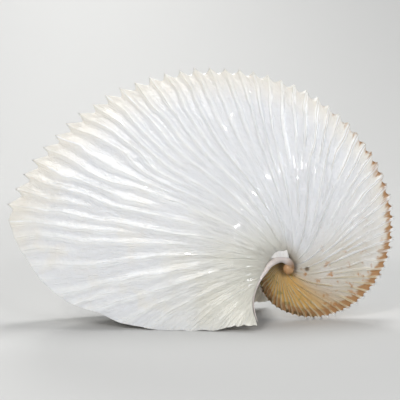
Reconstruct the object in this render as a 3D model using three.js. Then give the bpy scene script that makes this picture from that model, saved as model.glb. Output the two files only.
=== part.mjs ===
// Shell of a paper nautilus, standing on its two lips and on the keel of its coil.
//
// The shell is one thin sheet of calcite, so the model is one mesh. A cross-section runs from one
// umbilical edge, out along the flank, over the narrow keel and back along the other flank. Its size
// grows with the angle round the coil axis, and a rib and a pair of keel nodules mark each step of
// growth. The first turn is solid, the rest is a hollow trough that opens at the lips.
//
// Units are millimetres, +Z is up, the coil axis runs along Y and the open end points to -X.

import * as THREE from 'three';
import { ParametricGeometry } from 'three/addons/geometries/ParametricGeometry.js';
import { mergeGeometries, mergeVertices } from 'three/addons/utils/BufferGeometryUtils.js';

// Driving dimensions

const WALL = 1.0; // thickness of the wall
const WALL_TO_RADIUS = 0.03; // thinner wall where the coil is small
const WALL_TO_WIDTH = 0.45; // and never more than this share of the local half-width
const KEEL_WALL = 1.6; // the keel is this many walls thick
const KEEL_WALL_CURVE = 4; // how late the wall thickens on its way to the keel

// Radius of the keel by growth angle, in degrees anticlockwise from +X, between the nodules
const KEEL_RADII = [
  [-180, 12.4],
  [-120, 18.7],
  [-90, 22.4],
  [-62, 27.5],
  [-24, 37.2],
  [10, 48.0],
  [51, 64.0],
  [88, 84.0],
  [121, 104.6],
  [154, 126.2],
  [165, 132.8],
];

// Half-width of the cross-section as a share of the keel radius
const KEEL_HALF_WIDTH = 0.025;
const FLANK_HALF_WIDTH = 0.13;
const UMBILICUS_HALF_WIDTH = 0.045;
const WIDEST_AT = 0.3; // place of the widest point, from coil axis (0) to keel (1)
const UMBILICUS_AT = 0.05; // place of the umbilical edge
const FLANK_CURVE = 1.5;
const UMBILICUS_CURVE = 2.4;

// Outward flare of the two lips
const FLARE_FROM = 190; // growth angle where it begins
const FLARE_OVER = 50; // degrees of growth
const FLARE = 0.26;
const FLARE_CURVE = 1.5;

// Nodules and ribs, counted from the front of the keel. They stand a few degrees apart, and further
// apart the older they are: the lag is how far rib LAG_COUNT is behind an even spacing.
const FIRST_RIB = 166.1;
const RIB_SPACING = 3.45;
const LAG = 42.6;
const LAG_COUNT = 48;
const LAG_CURVE = 2.8;
const RIB_SWEEP = 8.5; // ribs swing back by this many spacings on their way to the coil axis
const RIB_SWEEP_CURVE = 2.6;
const NODULE_HEIGHT = 1.4; // on the coil
const TALL_NODULE_HEIGHT = 3.1; // near the lips
const TALL_FROM = 115; // growth angle where the nodules begin to grow taller
const TALL_OVER = 40; // degrees of growth until they are tall
const KEEL_GROOVE = 0.006; // depth of the smooth band between the two rows of nodules
const KEEL_GROOVE_HALF = 0.4; // half-width of that band, as a share of the keel's
const RIB_HEIGHT = 0.35;
const RIB_FADES_AT = 0.12; // no ribs nearer to the coil axis than this share of the keel radius

// Growth
const HOLLOW_FROM = -120; // growth angle where the trough begins
const FIRST_TURN = 300; // degrees of solid horn before that
const HORN_STEPS = 24;
const LIP_STEPS = 26; // steps from the front of the keel to the tip of the lip
const FLANK_STEPS = 6; // steps from the umbilical edge to the keel, outside
const INNER_STEPS = 4; // and inside

// Outline of a lip as [growth angle, share of the keel radius], from the keel to the lip's tip
const LIP_OUTLINE = [
  [169.3, 1.0],
  [173.3, 0.945],
  [177.6, 0.879],
  [181.4, 0.822],
  [186.6, 0.725],
  [191.9, 0.596],
  [196.8, 0.516],
  [201.7, 0.434],
  [204.1, 0.396],
  [208.0, 0.337],
  [213.0, 0.281],
  [219.8, 0.226],
  [223.9, 0.192],
  [230.5, 0.163],
  [241.5, 0.135],
];

// The margin that runs from the umbilicus out to the lip's tip
const MARGIN_OUTLINE = [
  [-60.0, 0.02],
  [60.0, 0.035],
  [120.0, 0.052],
  [145.0, 0.052],
  [188.6, 0.066],
  [204.8, 0.088],
  [212.4, 0.099],
  [220.9, 0.114],
  [230.0, 0.124],
  [235.7, 0.128],
  [241.5, 0.135],
];

const NEAR = -1; // the side towards -Y
const FAR = 1;
const OUTSIDE = 'outside';
const INSIDE = 'inside';
const KEEL_COLUMNS = 3; // near row of nodules to smooth band, across the band, band to far row
const DEGREE = Math.PI / 180;
const MOST_RIBS = 100;
const COUNT_PRECISION = 1e-9;
const MERGE_DISTANCE = 1e-4;

// Value at x of the straight lines through a list of [x, y] points, which goes up in x. Beyond the ends
// the end value holds.
function alongList(points, x) {
  if (x <= points[0][0]) return points[0][1];
  for (let i = 1; i < points.length; i++) {
    const [x0, y0] = points[i - 1];
    const [x1, y1] = points[i];
    if (x <= x1) return y0 + ((x - x0) / (x1 - x0)) * (y1 - y0);
  }
  return points[points.length - 1][1];
}

// Growth of the keel: a smooth curve through the logarithms of the listed radii. Beyond both ends the
// rate of growth stays as it is there, which is a logarithmic spiral.
const knots = KEEL_RADII.map(([angle, radius]) => [angle, Math.log(radius)]);
const slopes = knots.map((knot, i) => {
  const before = knots[Math.max(i - 1, 0)];
  const after = knots[Math.min(i + 1, knots.length - 1)];
  return (after[1] - before[1]) / (after[0] - before[0]);
});

function keelRadius(angle) {
  const end = knots.length - 1;
  if (angle <= knots[0][0]) return Math.exp(knots[0][1] + slopes[0] * (angle - knots[0][0]));
  if (angle >= knots[end][0]) return Math.exp(knots[end][1] + slopes[end] * (angle - knots[end][0]));
  const i = knots.findIndex((knot) => knot[0] > angle) - 1;
  const step = knots[i + 1][0] - knots[i][0];
  const t = (angle - knots[i][0]) / step;
  const fromHere = (1 + 2 * t) * (1 - t) ** 2 * knots[i][1] + t * (1 - t) ** 2 * step * slopes[i];
  const fromNext = t * t * (3 - 2 * t) * knots[i + 1][1] + t * t * (t - 1) * step * slopes[i + 1];
  return Math.exp(fromHere + fromNext);
}

// Half-width of the cross-section at a share of the keel radius
function halfWidth(share) {
  if (share > WIDEST_AT) {
    const out = (share - WIDEST_AT) / (1 - WIDEST_AT);
    return KEEL_HALF_WIDTH + (FLANK_HALF_WIDTH - KEEL_HALF_WIDTH) * (1 - out ** FLANK_CURVE);
  }
  const inward = Math.min((WIDEST_AT - share) / (WIDEST_AT - UMBILICUS_AT), 1);
  const dip = 1 - inward ** UMBILICUS_CURVE;
  return UMBILICUS_HALF_WIDTH + (FLANK_HALF_WIDTH - UMBILICUS_HALF_WIDTH) * dip;
}

function flare(angle) {
  const t = Math.max((angle - FLARE_FROM) / FLARE_OVER, 0);
  return 1 + FLARE * t ** FLARE_CURVE;
}

// Ribs: a rib keeps its count all the way from the keel to the coil axis, while its angle falls behind

function ribSweep(share) {
  return RIB_SWEEP * (1 - share) ** RIB_SWEEP_CURVE;
}

function ribAngle(count, share) {
  const swept = count + ribSweep(share);
  const lag = LAG * Math.max(swept / LAG_COUNT, 0) ** LAG_CURVE;
  return FIRST_RIB - RIB_SPACING * swept - lag;
}

// The count at which ribAngle gives the angle, found by halving a range that holds it
function ribCount(angle, share) {
  let low = -MOST_RIBS;
  let high = MOST_RIBS;
  while (high - low > COUNT_PRECISION) {
    const middle = (low + high) / 2;
    if (ribAngle(middle, share) > angle) low = middle;
    else high = middle;
  }
  return (low + high) / 2;
}

// Both outlines, restated as [rib count, share]
const byCount = ([angle, share]) => [ribCount(angle, share), share];
const lipByCount = LIP_OUTLINE.map(byCount).reverse();
const marginByCount = MARGIN_OUTLINE.map(byCount).reverse();
const TIP_COUNT = lipByCount[0][0];
const FRONT_COUNT = lipByCount[lipByCount.length - 1][0];
const HOLLOW_COUNT = Math.round(ribCount(HOLLOW_FROM, 1));
const FULL_RADIUS = keelRadius(LIP_OUTLINE[0][0]);

// Stations of growth, oldest first. Each has its rib count, the degrees of solid horn that still
// follow it, and its rise: 1 on a rib and its nodules, -1 between two ribs.

const horn = [];
for (let i = HORN_STEPS; i > 0; i--) {
  horn.push({ count: HOLLOW_COUNT, turn: (FIRST_TURN * i) / HORN_STEPS, rise: -1 });
}

const trough = [];
for (let count = HOLLOW_COUNT; count > FRONT_COUNT; count -= 0.5) {
  trough.push({ count, turn: 0, rise: Number.isInteger(count) ? 1 : -1 });
}
trough.push({ count: FRONT_COUNT, turn: 0, rise: -1 });

const lips = [trough[trough.length - 1]];
for (let i = 1; i <= LIP_STEPS; i++) {
  const count = FRONT_COUNT + ((TIP_COUNT - FRONT_COUNT) * i) / LIP_STEPS;
  lips.push({ count, turn: 0, rise: i % 2 ? 1 : -1 });
}

const hollowStart = trough[0];
const keelFront = lips[0];

function noduleHeight(angle) {
  const t = Math.min(Math.max((angle - TALL_FROM) / TALL_OVER, 0), 1);
  return NODULE_HEIGHT + (TALL_NODULE_HEIGHT - NODULE_HEIGHT) * t * t * (3 - 2 * t);
}

// Points of the sheet. Across goes from 0 at the umbilical edge to 1 at the keel or the lip.

function place(station, across) {
  const from = alongList(marginByCount, station.count);
  const to = alongList(lipByCount, station.count);
  const share = across === 1 ? to : from + across * (to - from);
  const angle = ribAngle(station.count, share) - station.turn;
  return { share, angle, radius: keelRadius(angle) };
}

function polar(angle, radius, y, target) {
  return target.set(radius * Math.cos(angle * DEGREE), y, radius * Math.sin(angle * DEGREE));
}

function outerPoint(station, across, side, target) {
  const { share, angle, radius } = place(station, across);
  const onKeel = share === 1;
  const nodule = onKeel && station.rise > 0 ? noduleHeight(angle) : 0;
  const fade = Math.max((share - RIB_FADES_AT) / (1 - RIB_FADES_AT), 0);
  const grown = Math.min(radius / FULL_RADIUS, 1);
  const rib = onKeel || station.turn > 0 ? 0 : RIB_HEIGHT * fade * grown * station.rise;
  const y = halfWidth(share) * radius * flare(angle) + rib;
  return polar(angle, share * radius + nodule, side * y, target);
}

function innerPoint(station, across, side, target) {
  const { share, angle, radius } = place(station, across);
  const wall = Math.min(WALL, WALL_TO_RADIUS * radius);
  const full = halfWidth(share) * radius * flare(angle);
  const y = Math.max(full - wall, WALL_TO_WIDTH * full);
  const under = share * (radius - share ** KEEL_WALL_CURVE * KEEL_WALL * wall);
  return polar(angle, under, side * y, target);
}

// One edge of the smooth band that runs along the keel between the two rows of nodules
function groovePoint(station, side, target) {
  const { angle, radius } = place(station, 1);
  const y = side * KEEL_GROOVE_HALF * KEEL_HALF_WIDTH * radius;
  return polar(angle, radius * (1 - KEEL_GROOVE), y, target);
}

// Patches. Each is a grid of points over u and v, both from 0 to 1, and its front is where u turns
// anticlockwise into v. Running u backwards turns a patch over.

function patch(stations, columns, at) {
  const last = stations.length - 1;
  const point = (u, v, target) => at(stations[Math.round(v * last)], u, target);
  return new ParametricGeometry(point, columns, last);
}

// A flank from the umbilical edge outwards; side * facing is positive on a face that looks to +Y
function flank(point, stations, steps, side, facing) {
  const turned = side * facing > 0;
  return patch(stations, steps, (station, u, target) => {
    return point(station, turned ? 1 - u : u, side, target);
  });
}

// The cut edge of the sheet at the umbilicus (across is 0) or along the lip (across is 1)
function cutEdge(stations, across, side) {
  const innerFirst = (side === NEAR) === (across === 0);
  return patch(stations, 1, (station, u, target) => {
    const point = u > 0.5 === innerFirst ? outerPoint : innerPoint;
    return point(station, across, side, target);
  });
}

// The outside of the keel: near row of nodules, two edges of the smooth band, far row
function keelColumn(station, column, target) {
  if (column === 0) return outerPoint(station, 1, NEAR, target);
  if (column === KEEL_COLUMNS) return outerPoint(station, 1, FAR, target);
  return groovePoint(station, column === 1 ? NEAR : FAR, target);
}

function keelOutside() {
  return patch([...horn, ...trough], KEEL_COLUMNS, (station, u, target) => {
    return keelColumn(station, Math.round(u * KEEL_COLUMNS), target);
  });
}

function keelInside() {
  return patch(trough, 1, (station, u, target) => innerPoint(station, 1, u > 0.5 ? NEAR : FAR, target));
}

// The front end of the keel, between its outside and its inside
function keelEnd() {
  return patch([OUTSIDE, INSIDE], KEEL_COLUMNS, (face, u, target) => {
    const column = Math.round(u * KEEL_COLUMNS);
    if (face === OUTSIDE) return keelColumn(keelFront, column, target);
    return innerPoint(keelFront, 1, column > 1 ? FAR : NEAR, target);
  });
}

// The wall that ends the hollow at the solid horn
function hollowEnd() {
  const rows = Array.from({ length: INNER_STEPS + 1 }, (_, i) => 1 - i / INNER_STEPS);
  return patch(rows, 1, (across, u, target) => innerPoint(hollowStart, across, u > 0.5 ? FAR : NEAR, target));
}

// The side of the horn that looks to the coil axis. Its middle strip meets the wall above.
function hornBack() {
  return patch([...horn, hollowStart], KEEL_COLUMNS, (station, u, target) => {
    const column = Math.round(u * KEEL_COLUMNS);
    const point = column === 0 || column === KEEL_COLUMNS ? outerPoint : innerPoint;
    return point(station, 0, column > 1 ? NEAR : FAR, target);
  });
}

// The blunt tip of the horn, row by row from the coil axis out to the keel
function hornTip() {
  const rows = Array.from({ length: FLANK_STEPS + 1 }, (_, i) => i / FLANK_STEPS);
  return patch(rows, KEEL_COLUMNS, (across, u, target) => {
    const column = Math.round(u * KEEL_COLUMNS);
    if (across === 1) return keelColumn(horn[0], column, target);
    const point = column === 0 || column === KEEL_COLUMNS ? outerPoint : innerPoint;
    return point(horn[0], across, column > 1 ? FAR : NEAR, target);
  });
}

// One closed body: the patches joined at their shared points, without the slivers that this leaves

function withoutSlivers(geometry) {
  const corners = Array.from(geometry.index.array);
  const kept = [];
  for (let i = 0; i < corners.length; i += 3) {
    const [a, b, c] = corners.slice(i, i + 3);
    if (a !== b && b !== c && c !== a) kept.push(a, b, c);
  }
  geometry.setIndex(kept);
  return geometry;
}

function closedSheet() {
  const whole = [...horn, ...trough, ...lips.slice(1)];
  const hollow = [...trough, ...lips.slice(1)];
  const patches = [keelOutside(), keelInside(), keelEnd(), hollowEnd(), hornBack(), hornTip()];
  for (const side of [NEAR, FAR]) {
    patches.push(flank(outerPoint, whole, FLANK_STEPS, side, 1));
    patches.push(flank(innerPoint, hollow, INNER_STEPS, side, -1));
    patches.push(cutEdge(hollow, 0, side));
    patches.push(cutEdge(lips, 1, side));
  }
  for (const geometry of patches) {
    geometry.deleteAttribute('normal');
    geometry.deleteAttribute('uv');
  }
  return withoutSlivers(mergeVertices(mergeGeometries(patches), MERGE_DISTANCE));
}

const geometry = closedSheet();
geometry.computeVertexNormals();
geometry.computeBoundingBox();
const box = geometry.boundingBox;

const calcite = new THREE.MeshStandardMaterial({ color: 0xe8e9ec, roughness: 0.3, metalness: 0 });
const shell = new THREE.Mesh(geometry, calcite);
shell.name = 'shell';
shell.position.set(-(box.min.x + box.max.x) / 2, 0, -box.min.z);

const part = new THREE.Group();
part.add(shell);

export default part;
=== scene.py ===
"""Looks of a whole paper nautilus shell, standing on its two lips and on the keel of its coil.

The shell is one thin sheet of calcite. Its points are a formula in two parameters: the rib count, which
says when a point grew, and the place across the sheet, from the umbilical margin out to the keel or the
lip. The roll along that margin and the broken scale above it are closed surfaces of their own in the same
mesh. Lengths inside the formulas are millimetres, angles are degrees round the coil axis from +X towards
+Z, and meshes are written in metres.
"""

from __future__ import annotations

import logging
import math
from dataclasses import dataclass, field
from enum import Enum
from functools import partial

import bmesh
import bpy
import numpy as np
from mathutils import Matrix, Vector


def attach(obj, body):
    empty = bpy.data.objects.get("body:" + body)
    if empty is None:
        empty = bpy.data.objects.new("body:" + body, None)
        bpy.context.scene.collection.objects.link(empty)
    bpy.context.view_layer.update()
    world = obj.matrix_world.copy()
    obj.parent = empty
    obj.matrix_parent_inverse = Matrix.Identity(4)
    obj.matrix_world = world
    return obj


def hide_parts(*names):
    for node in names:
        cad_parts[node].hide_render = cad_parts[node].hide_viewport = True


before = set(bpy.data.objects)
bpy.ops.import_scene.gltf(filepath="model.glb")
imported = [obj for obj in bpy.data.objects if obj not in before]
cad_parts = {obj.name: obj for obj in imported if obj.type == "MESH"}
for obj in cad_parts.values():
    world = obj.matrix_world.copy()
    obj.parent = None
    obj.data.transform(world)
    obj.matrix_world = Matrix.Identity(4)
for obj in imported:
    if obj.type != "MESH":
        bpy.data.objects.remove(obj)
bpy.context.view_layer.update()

LOG = logging.getLogger("paper_nautilus_shell")
MM = 0.001
MERGE_DECIMALS = 4  # points that agree to a ten-thousandth of a millimetre become one
NOISE_SIZE = 256  # lattice steps after which a noise repeats
RIBS_LISTED = 512  # length of a list of random values, one for each rib
RIB_OFFSET = 200  # place of rib 0 in such a list
NODE = "shell"
BODY = "root"
COIL_AXIS = (41.689, 25.884)  # x and z in millimetres

Fields = dict[str, np.ndarray]
Span = tuple[float, float]  # where a smooth step starts and ends


class Side(Enum):
    """The two sides of the shell: near faces -Y, far faces +Y."""

    NEAR = -1
    FAR = 1


class Face(Enum):
    """The two faces of the sheet."""

    OUTSIDE = 0
    INSIDE = 1


def smooth_step(low: float, high: float, x: np.ndarray) -> np.ndarray:
    """The rise at x from 0 at low to 1 at high, along 3t^2 - 2t^3. High may be less than low, for a fall."""
    t = np.clip((x - low) / (high - low), 0.0, 1.0)
    return t * t * (3.0 - 2.0 * t)


def lattice_noise(u: np.ndarray, v: np.ndarray, seed: int) -> np.ndarray:
    """Smooth noise from -1 to 1: random values on whole numbers of u and v, eased between them.

    Args:
        u: First coordinate, in lattice steps.
        v: Second coordinate, in lattice steps.
        seed: Which noise this is.

    Returns:
        Noise, as an array of the shape that u and v give together.
    """
    lattice = np.random.default_rng(seed).uniform(-1.0, 1.0, (NOISE_SIZE, NOISE_SIZE))
    u, v = np.broadcast_arrays(np.asarray(u, float), np.asarray(v, float))
    column = np.floor(u).astype(int)
    row = np.floor(v).astype(int)
    across = smooth_step(0.0, 1.0, u - column)
    along = smooth_step(0.0, 1.0, v - row)
    left, right, lower, upper = (at % NOISE_SIZE for at in (column, column + 1, row, row + 1))
    low = lattice[left, lower] * (1 - across) + lattice[right, lower] * across
    high = lattice[left, upper] * (1 - across) + lattice[right, upper] * across
    return low * (1 - along) + high * along


def cubic_curve(place: np.ndarray, value: np.ndarray, slope: np.ndarray, x: np.ndarray) -> np.ndarray:
    """Curve through points, in cubic pieces that have the given slope at each point.

    Args:
        place: Places of the points, rising.
        value: Values of the points.
        slope: Slopes at the points.
        x: Where to take the curve.

    Returns:
        The values, as an array like x.
    """
    i = np.clip(np.searchsorted(place, x, side="right") - 1, 0, place.size - 2)
    step = place[i + 1] - place[i]
    t = (x - place[i]) / step
    from_here = (1 + 2 * t) * (1 - t) ** 2 * value[i] + t * (1 - t) ** 2 * step * slope[i]
    from_next = t * t * (3 - 2 * t) * value[i + 1] + t * t * (t - 1) * step * slope[i + 1]
    return from_here + from_next


def listed(rib: np.ndarray) -> np.ndarray:
    """Place of each rib in a list of random values."""
    return (rib.astype(int) + RIB_OFFSET) % RIBS_LISTED


@dataclass(frozen=True)
class Shift:
    """A value that moves smoothly from start to end while something else goes from low to high."""

    start: float
    end: float
    low: float
    high: float

    def at(self, x: np.ndarray) -> np.ndarray:
        """The value at x."""
        return self.start + (self.end - self.start) * smooth_step(self.low, self.high, x)


@dataclass(frozen=True)
class Waves:
    """A noise over the sheet, with so many lattice steps to a rib and from the coil axis to the keel."""

    per_rib: float
    per_share: float
    seed: int

    def at(self, count: np.ndarray, share: np.ndarray, side: Side) -> np.ndarray:
        """The noise at a rib count and a place from the coil axis (0) to the keel (1)."""
        return lattice_noise(count * self.per_rib, share * self.per_share, self.seed + side.value)


@dataclass(frozen=True)
class Growth:
    """The law by which the shell grew. Its driving sizes are the same as the solid's."""

    # Radius of the keel in millimetres by growth angle, between the nodules
    keel_angles: tuple[float, ...] = (-180, -120, -90, -62, -24, 10, 51, 88, 121, 154, 165)
    keel_radii: tuple[float, ...] = (12.4, 18.7, 22.4, 27.5, 37.2, 48.0, 64.0, 84.0, 104.6, 126.2, 132.8)
    # Half-width of the cross-section as a share of the keel radius
    keel_half_width: float = 0.025
    flank_half_width: float = 0.13
    umbilicus_half_width: float = 0.045
    widest_at: float = 0.3
    umbilicus_at: float = 0.05
    flank_curve: float = 1.5
    umbilicus_curve: float = 4.0
    plumpness: Shift = Shift(1.0, 1.9, 20.0, -150.0)
    # Flare of the lips
    flare_from: float = 190.0
    flare_over: float = 50.0
    flare: float = 0.26
    flare_curve: float = 1.5
    # Ribs and nodules, counted from the front of the keel
    first_rib: float = 166.1
    rib_spacing: float = 3.45
    lag: float = 42.6
    lag_count: float = 48.0
    lag_curve: float = 2.8
    rib_sweep: float = 8.5
    rib_sweep_curve: float = 2.6
    # Outline of a lip, and margin from the umbilicus to the lip's tip, as angle and share of the keel radius
    lip_angles: tuple[float, ...] = (
        169.3, 173.3, 177.6, 181.4, 186.6, 191.9, 196.8, 201.7,
        204.1, 208.0, 213.0, 219.8, 223.9, 230.5, 241.5,
    )
    lip_shares: tuple[float, ...] = (
        1.0, 0.945, 0.879, 0.822, 0.725, 0.596, 0.516, 0.434,
        0.396, 0.337, 0.281, 0.226, 0.192, 0.163, 0.135,
    )
    margin_angles: tuple[float, ...] = (-60, 60, 120, 145, 188.6, 204.8, 212.4, 220.9, 230.0, 235.7, 241.5)
    margin_shares: tuple[float, ...] = (
        0.02, 0.035, 0.052, 0.052, 0.066, 0.088, 0.099, 0.114, 0.124, 0.128, 0.135,
    )
    count_range: tuple[float, float] = (-100.0, 150.0)  # it holds the rib count of every point
    halvings: int = 60

    def keel_radius(self, angle: np.ndarray) -> np.ndarray:
        """Radius of the keel, in millimetres.

        A cubic curve runs through the logarithms of the listed radii, with the slope at each one taken
        from its two neighbours. Beyond the ends the slope stays as it is there: a logarithmic spiral.

        Args:
            angle: Growth angle.

        Returns:
            The radius, as an array like angle.
        """
        at = np.asarray(self.keel_angles, float)
        log = np.log(self.keel_radii)
        before = np.maximum(np.arange(at.size) - 1, 0)
        after = np.minimum(np.arange(at.size) + 1, at.size - 1)
        slope = (log[after] - log[before]) / (at[after] - at[before])
        inner = log[0] + slope[0] * (angle - at[0])
        outer = log[-1] + slope[-1] * (angle - at[-1])
        between = cubic_curve(at, log, slope, angle)
        return np.exp(np.where(angle < at[0], inner, np.where(angle > at[-1], outer, between)))

    def half_width(self, share: np.ndarray, angle: np.ndarray) -> np.ndarray:
        """Half-width of the shell in millimetres, without its relief.

        It is widest three tenths of the way out, falls to the narrow keel along a power curve and dips
        towards the coil axis, times the flare of the lips and the plumpness of the young shell.

        Args:
            share: Place from the coil axis (0) to the keel (1).
            angle: Growth angle.

        Returns:
            The half-width, as an array.
        """
        out = np.clip((share - self.widest_at) / (1 - self.widest_at), 0.0, 1.0)
        inward = np.clip((self.widest_at - share) / (self.widest_at - self.umbilicus_at), 0.0, 1.0)
        to_keel = self.keel_half_width + (self.flank_half_width - self.keel_half_width) * (
            1 - out**self.flank_curve
        )
        to_axis = self.umbilicus_half_width + (self.flank_half_width - self.umbilicus_half_width) * (
            1 - inward**self.umbilicus_curve
        )
        width = np.where(share > self.widest_at, to_keel, to_axis)
        flared = np.clip((angle - self.flare_from) / self.flare_over, 0, None) ** self.flare_curve
        return self.keel_radius(angle) * width * (1 + self.flare * flared) * self.plumpness.at(angle)

    def rib_angle(self, count: np.ndarray, share: np.ndarray) -> np.ndarray:
        """Angle of a rib: even spacing, less a lag that grows with age, swung back towards the axis.

        Args:
            count: Rib count from the front of the keel.
            share: Place from the coil axis (0) to the keel (1).

        Returns:
            The growth angle, as an array.
        """
        swept = count + self.rib_sweep * (1 - share) ** self.rib_sweep_curve
        lag = self.lag * np.clip(swept / self.lag_count, 0, None) ** self.lag_curve
        return self.first_rib - self.rib_spacing * swept - lag

    def rib_count(self, angle: np.ndarray, share: np.ndarray) -> np.ndarray:
        """The count at which rib_angle gives the angle, by halving a range that holds it.

        Args:
            angle: Growth angle.
            share: Place from the coil axis (0) to the keel (1).

        Returns:
            The rib count, as an array.
        """
        low = np.full(np.shape(angle), self.count_range[0])
        high = np.full(np.shape(angle), self.count_range[1])
        for _ in range(self.halvings):
            middle = (low + high) / 2
            short = self.rib_angle(middle, np.asarray(share)) > angle
            low = np.where(short, middle, low)
            high = np.where(short, high, middle)
        return (low + high) / 2

    def outline(self, angles: tuple[float, ...], shares: tuple[float, ...]) -> tuple[np.ndarray, np.ndarray]:
        """An outline restated by rib count, in rising order.

        Args:
            angles: Growth angles of its points.
            shares: Their places from the coil axis (0) to the keel (1).

        Returns:
            The rib counts and the shares.
        """
        counts = self.rib_count(np.array(angles, float), np.array(shares, float))
        order = np.argsort(counts)
        return counts[order], np.array(shares, float)[order]


@dataclass(frozen=True)
class Relief:
    """What stands out from the plain sheet: ribs and nodules, with their wandering. In millimetres."""

    rib_height: float = 0.78
    full_radius: float = 133.0
    rib_growth: float = 0.5
    mean_rib: float = 0.4  # the height from 0 to 1 at which the sheet stays in its place
    # By rib count: half-width of a rib as a share of the way to the next one, and squareness of its section
    half_width: Shift = Shift(0.29, 0.185, 2.0, 18.0)
    squareness: Shift = Shift(2.2, 2.8, 2.0, 18.0)
    coil_counts: Span = (46.0, 60.0)
    # How much wider ribs are halfway in, near the umbilicus and on the coil, and how unevenly
    wider_halfway: float = 0.45
    halfway: Span = (0.78, 0.5)
    wider_inside: float = 1.3
    far_inside: Span = (0.42, 0.15)
    wider_on_coil: float = 0.35
    uneven_width: float = 0.25
    width_waves: Waves = Waves(0.8, 8.0, 49)
    # Where the odd ribs sink in, where every second one of the rest does as a share of that, and how fast
    rib_seed: int = 31
    sinks_at: tuple[float, float] = (0.5, 0.78)
    sinks_over: float = 0.09
    late_share: float = 0.55
    late_over: float = 0.07
    # Strength of a rib, its unevenness along its length, the breaks in it and the wrinkles over all
    strengths: tuple[float, float] = (0.72, 1.12)
    length_height: float = 0.88
    uneven_length: float = 0.25
    length_waves: Waves = Waves(0.9, 9.0, 41)
    breaks: Span = (0.1, -0.5)
    break_counts: Span = (2.0, 18.0)
    break_shares: Span = (0.85, 0.65)
    break_depth: float = 0.7
    break_waves: Waves = Waves(0.77, 7.0, 47)
    wrinkle_height: float = 0.13
    wrinkle_waves: Waves = Waves(3.1, 24.0, 43)
    # Wandering in counts, by rib count, and the lean near the keel
    free_shares: Span = (1.0, 0.9)
    slow: Shift = Shift(0.42, 0.28, 5.0, 20.0)
    slow_waves: Waves = Waves(0.45, 5.0, 11)
    quick: Shift = Shift(0.13, 0.06, 5.0, 20.0)
    quick_waves: Waves = Waves(1.1, 17.0, 21)
    lean: float = 0.3
    lean_at: float = 0.82
    lean_over: float = 0.1
    lean_counts: Span = (30.0, 0.0)
    # By growth angle: height of the nodules over the hollows between them, depth of these below the
    # keel's line, height of the far row as a share, and what wear leaves on the coil
    nodule_height: Shift = Shift(2.2, 4.8, 65.0, 155.0)
    hollow: Shift = Shift(0.35, 1.05, 65.0, 155.0)
    far_row: Shift = Shift(1.0, 0.6, 65.0, 155.0)
    worn: Shift = Shift(1.0, 0.25, -55.0, -95.0)
    hollow_angles: Span = (20.0, 60.0)
    hollow_counts: Span = (-0.5, 0.3)
    nodule_seed: int = 51
    least_nodule: float = 0.85
    nodule_range: float = 0.25
    # By growth angle: place of the hollow on the way to the next nodule, and the powers of its two sides
    valley_at: Shift = Shift(0.42, 0.62, 105.0, 140.0)
    fall_power: Shift = Shift(1.7, 0.95, 105.0, 140.0)
    rise_power: Shift = Shift(1.7, 1.9, 105.0, 140.0)
    spike_half_width: float = 0.26
    spike_power: float = 1.1
    arc_angles: Span = (15.0, 55.0)
    far_row_lag: float = -0.15
    keel_groove: float = 0.006

    def wander(self, count: np.ndarray, share: np.ndarray, side: Side) -> np.ndarray:
        """Rib count with the ribs' wandering in it: slow and quick waves, and a lean near the keel.

        Args:
            count: Rib count.
            share: Place from the coil axis (0) to the keel (1).
            side: Side of the shell.

        Returns:
            The wandering count, as an array.
        """
        free = smooth_step(*self.free_shares, share)
        slow = self.slow.at(count) * self.slow_waves.at(count, share, side)
        quick = self.quick.at(count) * self.quick_waves.at(count, share, side)
        lean = -self.lean * np.exp(-(((share - self.lean_at) / self.lean_over) ** 2))
        return count + free * (slow + quick) + lean * smooth_step(*self.lean_counts, count)

    def ribs(self, count: np.ndarray, share: np.ndarray, side: Side) -> np.ndarray:
        """Height of the ribs, from 0 in the hollows to 1 on a full crest.

        A rib's section is exp(-(d / w)^p) at a distance of d counts, a round-topped ridge of half-width w
        with flat hollows beside it. Odd ribs sink into the sheet part of the way in, every second one of
        the rest further in, and those that are left widen. On the back of the shell they are broken into
        lengths. The coil keeps them all.

        Args:
            count: Rib count.
            share: Place from the coil axis (0) to the keel (1).
            side: Side of the shell.

        Returns:
            The height, as an array.
        """
        at = self.wander(count, share, side)
        nearest = np.rint(at)
        height = np.zeros(np.broadcast(at, share).shape)
        random = np.random.default_rng(self.rib_seed + side.value)
        sinks_at = random.uniform(*self.sinks_at, RIBS_LISTED)
        strength = random.uniform(*self.strengths, RIBS_LISTED)
        breaking = smooth_step(*self.break_counts, count) * smooth_step(*self.break_shares, share)
        coil = smooth_step(*self.coil_counts, count)
        widened = self.wider_halfway * smooth_step(*self.halfway, share)
        widened = widened + self.wider_inside * smooth_step(*self.far_inside, share)
        half_width = self.half_width.at(count) * (1 + (1 - coil) * widened + self.wider_on_coil * coil)
        half_width = half_width * (1 + self.uneven_width * self.width_waves.at(count, share, side))
        squareness = self.squareness.at(count)
        for step in (-1, 0, 1):
            rib = nearest + step
            sinks = sinks_at[listed(rib)]
            sunk = 1 - smooth_step(-self.sinks_over, self.sinks_over, share - sinks)
            late = 1 - smooth_step(-self.late_over, self.late_over, share - self.late_share * sinks)
            gone = np.where(np.mod(rib, 2) == 1, sunk, np.where(np.mod(rib, 4) == 2, late, 0.0))
            broken = breaking * smooth_step(*self.breaks, self.break_waves.at(rib, share, side))
            kept = (1 - gone * (1 - coil)) * (1 - self.break_depth * broken * (1 - coil))
            crown = np.exp(-((np.abs(at - rib) / half_width) ** squareness))
            height = np.maximum(height, strength[listed(rib)] * kept * crown)
        along = self.length_height + self.uneven_length * self.length_waves.at(count, share, side)
        return height * along + self.wrinkle_height * self.wrinkle_waves.at(count, share, side)

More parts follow.
